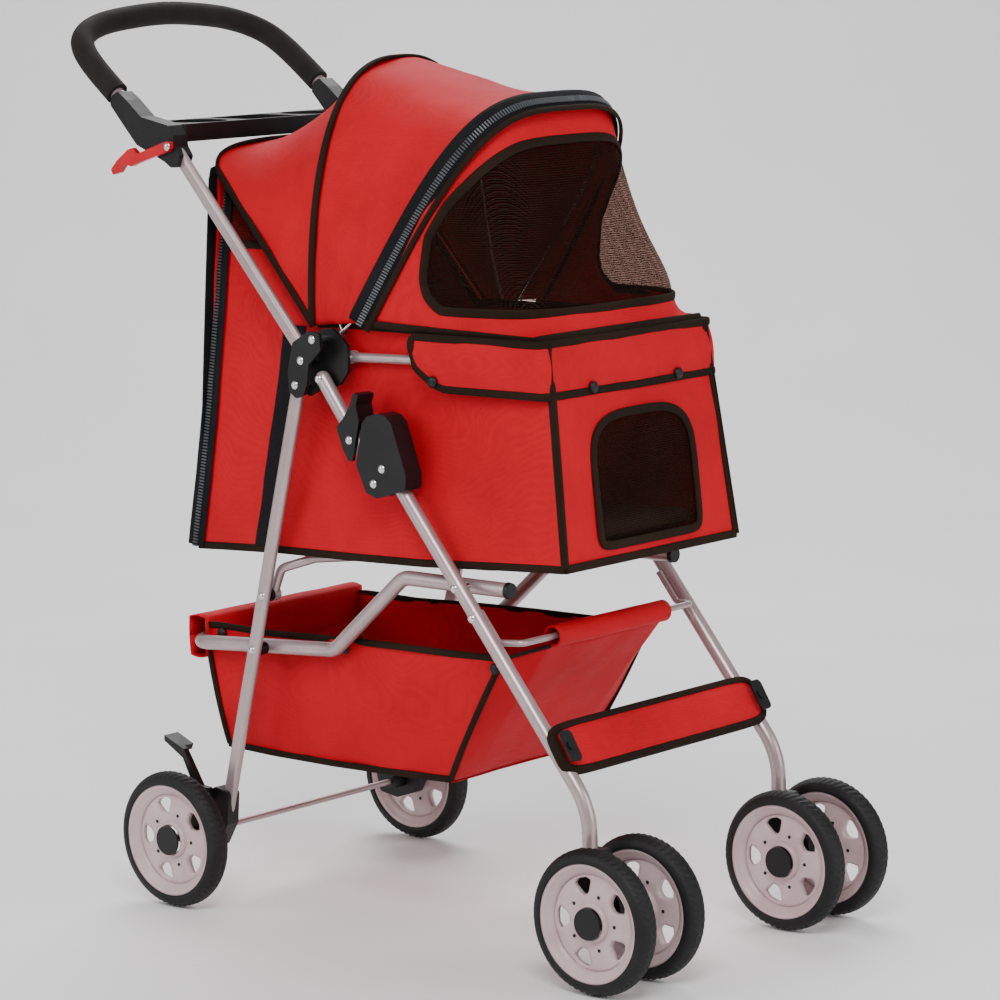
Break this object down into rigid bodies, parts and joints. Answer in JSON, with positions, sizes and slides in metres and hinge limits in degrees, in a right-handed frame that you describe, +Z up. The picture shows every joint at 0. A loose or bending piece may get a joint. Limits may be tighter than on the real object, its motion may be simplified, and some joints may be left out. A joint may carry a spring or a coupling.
{
  "type": "pet stroller",
  "caption": "Folding pet stroller with a soft hooded cabin, hooked storage basket, foot rest, parent tray, twin front casters and two rear wheels.",
  "frame": {"origin": "centre of the footprint on the floor", "axes": "-Y is the front of the stroller, +Z is up, +X is the stroller's left side"},
  "size_m": [0.422, 0.86, 0.977],
  "materials": {
    "red_cloth": "woven polyester",
    "dark_mesh": "open mesh",
    "tube_paint": "satin silver",
    "black_plastic": "fine grain",
    "red_plastic": "smooth",
    "wheel_plastic": "smooth",
    "tyre": "foam rubber",
    "foam": "foam",
    "steel": "rivet",
    "board": "hardboard"
  },
  "bodies": {
    "rear_frame": {"rear_legs": "tube_paint", "handle_tubes": "tube_paint", "side_brackets": "black_plastic", "frame_rivets": "steel", "pivot_spacers": "black_plastic", "rear_crossbar": "tube_paint", "rear_housings": "black_plastic", "rear_axles": "black_plastic", "parent_tray": "black_plastic", "handle_bar": "tube_paint", "handle_grip": "foam", "cabin_sides": "red_cloth", "cabin_front": "red_cloth", "front_mesh": "dark_mesh", "cabin_floor": "red_cloth", "front_flap": "red_cloth", "hood_rear": "red_cloth"},
    "storage_hook": {"storage_hook": "red_plastic"},
    "brake_right": {"brake_lever_right": "black_plastic"},
    "brake_left": {"brake_lever_left": "black_plastic"},
    "upper_links": {"upper_links": "tube_paint", "latch_pins": "steel"},
    "latch_right": {"latch_lever_right": "black_plastic"},
    "latch_left": {"latch_lever_left": "black_plastic"},
    "front_legs": {"front_leg_left": "tube_paint", "front_leg_right": "tube_paint", "knee_housing_left": "black_plastic", "knee_housing_right": "black_plastic", "front_rivets": "steel", "basket_bar": "tube_paint", "foot_rest": "red_cloth", "foot_rest_clips": "black_plastic"},
    "caster_right": {"caster_fork_right": "black_plastic", "front_axle_right": "black_plastic"},
    "caster_left": {"caster_fork_left": "black_plastic", "front_axle_left": "black_plastic"},
    "seat_frame": {"seat_frame": "tube_paint", "seat_frame_caps": "black_plastic", "storage_basket": "red_cloth"},
    "floor": {"floor_support": "tube_paint", "floor_board": "board"},
    "side_rails": {"side_rails": "tube_paint"},
    "hood_rib": {"hood_rib": "steel"},
    "hood_front": {"hood_front_hoop": "steel", "hood_middle": "red_cloth"},
    "front_window": {"front_window": "red_cloth", "hood_mesh": "dark_mesh"},
    "rear_door": {"rear_door": "red_cloth"},
    "wheel_front_right_outer": {"tyre_front_right_outer": "tyre", "hub_front_right_outer": "wheel_plastic"},
    "wheel_front_right_inner": {"tyre_front_right_inner": "tyre", "hub_front_right_inner": "wheel_plastic"},
    "wheel_front_left_outer": {"tyre_front_left_outer": "tyre", "hub_front_left_outer": "wheel_plastic"},
    "wheel_front_left_inner": {"tyre_front_left_inner": "tyre", "hub_front_left_inner": "wheel_plastic"},
    "wheel_rear_right": {"tyre_rear_right": "tyre", "hub_rear_right": "wheel_plastic"},
    "wheel_rear_left": {"tyre_rear_left": "tyre", "hub_rear_left": "wheel_plastic"}
  },
  "joints": [
    {"name": "fold", "type": "hinge", "parent": "rear_frame", "child": "upper_links", "pos_m": [0, 0.035, 0.591], "axis": [1, 0, 0], "range_deg": [-90, 0], "deforming": ["cabin_sides", "cabin_front", "front_mesh", "cabin_floor", "front_flap", "hood_rear", "hood_middle", "front_window", "hood_mesh", "rear_door", "storage_basket"]},
    {"name": "knee", "type": "hinge", "parent": "upper_links", "child": "front_legs", "pos_m": [0, -0.044, 0.487], "axis": [1, 0, 0], "range_deg": [0, 139]},
    {"name": "seat_fold", "type": "hinge", "parent": "rear_frame", "child": "seat_frame", "pos_m": [0, 0.146, 0.289], "axis": [1, 0, 0], "range_deg": [-33.5, 0]},
    {"name": "floor_fold", "type": "hinge", "parent": "rear_frame", "child": "floor", "pos_m": [0, 0.129, 0.35], "axis": [1, 0, 0], "range_deg": [-46.75, 0]},
    {"name": "rail_fold", "type": "hinge", "parent": "rear_frame", "child": "side_rails", "pos_m": [0, 0.013, 0.6125], "axis": [1, 0, 0], "range_deg": [-48.5, 0]},
    {"name": "latch_right_turn", "type": "hinge", "parent": "upper_links", "child": "latch_right", "pos_m": [-0.159, -0.011, 0.5304], "axis": [1, 0, 0], "range_deg": [0, 10], "stiffness_Nm_per_rad": 0.15, "springref_deg": -5.73},
    {"name": "latch_left_turn", "type": "hinge", "parent": "upper_links", "child": "latch_left", "pos_m": [0.159, -0.011, 0.5304], "axis": [1, 0, 0], "range_deg": [0, 10], "stiffness_Nm_per_rad": 0.15, "springref_deg": -5.73},
    {"name": "caster_right_swivel", "type": "hinge", "parent": "front_legs", "child": "caster_right", "pos_m": [-0.159, -0.3185, 0.1366], "axis": [0, 0, 1], "continuous": true},
    {"name": "caster_left_swivel", "type": "hinge", "parent": "front_legs", "child": "caster_left", "pos_m": [0.159, -0.3185, 0.1366], "axis": [0, 0, 1], "continuous": true},
    {"name": "wheel_front_right_outer_spin", "type": "hinge", "parent": "caster_right", "child": "wheel_front_right_outer", "pos_m": [-0.198, -0.355, 0.075], "axis": [1, 0, 0], "continuous": true},
    {"name": "wheel_front_right_inner_spin", "type": "hinge", "parent": "caster_right", "child": "wheel_front_right_inner", "pos_m": [-0.12, -0.355, 0.075], "axis": [1, 0, 0], "continuous": true},
    {"name": "wheel_front_left_outer_spin", "type": "hinge", "parent": "caster_left", "child": "wheel_front_left_outer", "pos_m": [0.198, -0.355, 0.075], "axis": [1, 0, 0], "continuous": true},
    {"name": "wheel_front_left_inner_spin", "type": "hinge", "parent": "caster_left", "child": "wheel_front_left_inner", "pos_m": [0.12, -0.355, 0.075], "axis": [1, 0, 0], "continuous": true},
    {"name": "wheel_rear_right_spin", "type": "hinge", "parent": "rear_frame", "child": "wheel_rear_right", "pos_m": [-0.198, 0.237, 0.075], "axis": [1, 0, 0], "continuous": true},
    {"name": "wheel_rear_left_spin", "type": "hinge", "parent": "rear_frame", "child": "wheel_rear_left", "pos_m": [0.198, 0.237, 0.075], "axis": [1, 0, 0], "continuous": true},
    {"name": "brake_right_press", "type": "hinge", "parent": "rear_frame", "child": "brake_right", "pos_m": [-0.1675, 0.213, 0.124], "axis": [1, 0, 0], "range_deg": [-24, 0]},
    {"name": "brake_left_press", "type": "hinge", "parent": "rear_frame", "child": "brake_left", "pos_m": [0.1675, 0.213, 0.124], "axis": [1, 0, 0], "range_deg": [-24, 0]},
    {"name": "hook_turn", "type": "hinge", "parent": "rear_frame", "child": "storage_hook", "pos_m": [-0.1735, 0.24, 0.829], "axis": [1, 0, 0], "range_deg": [-95, 0]},
    {"name": "hood_rib_fold", "type": "hinge", "parent": "rear_frame", "child": "hood_rib", "pos_m": [0, 0.031, 0.634], "axis": [1, 0, 0], "range_deg": [-25.1, 0]},
    {"name": "hood_fold", "type": "hinge", "parent": "hood_rib", "child": "hood_front", "pos_m": [0, 0.031, 0.634], "axis": [1, 0, 0], "range_deg": [-30, 0]},
    {"name": "window_open", "type": "hinge", "parent": "rear_frame", "child": "front_window", "pos_m": [0, -0.247, 0.641], "axis": [1, 0, 0], "range_deg": [0, 110]},
    {"name": "rear_door_open", "type": "hinge", "parent": "rear_frame", "child": "rear_door", "pos_m": [0, 0.2075, 0.797], "axis": [1, 0, 0], "range_deg": [0, 85]}
  ],
  "couplings": [
    {"joint": "knee", "follows": "fold", "ratio": -1.544},
    {"joint": "seat_fold", "follows": "fold", "ratio": 0.37197},
    {"joint": "floor_fold", "follows": "fold", "ratio": 0.51879},
    {"joint": "rail_fold", "follows": "fold", "ratio": 0.53837},
    {"joint": "hood_rib_fold", "follows": "hood_fold", "ratio": 0.83333}
  ]
}
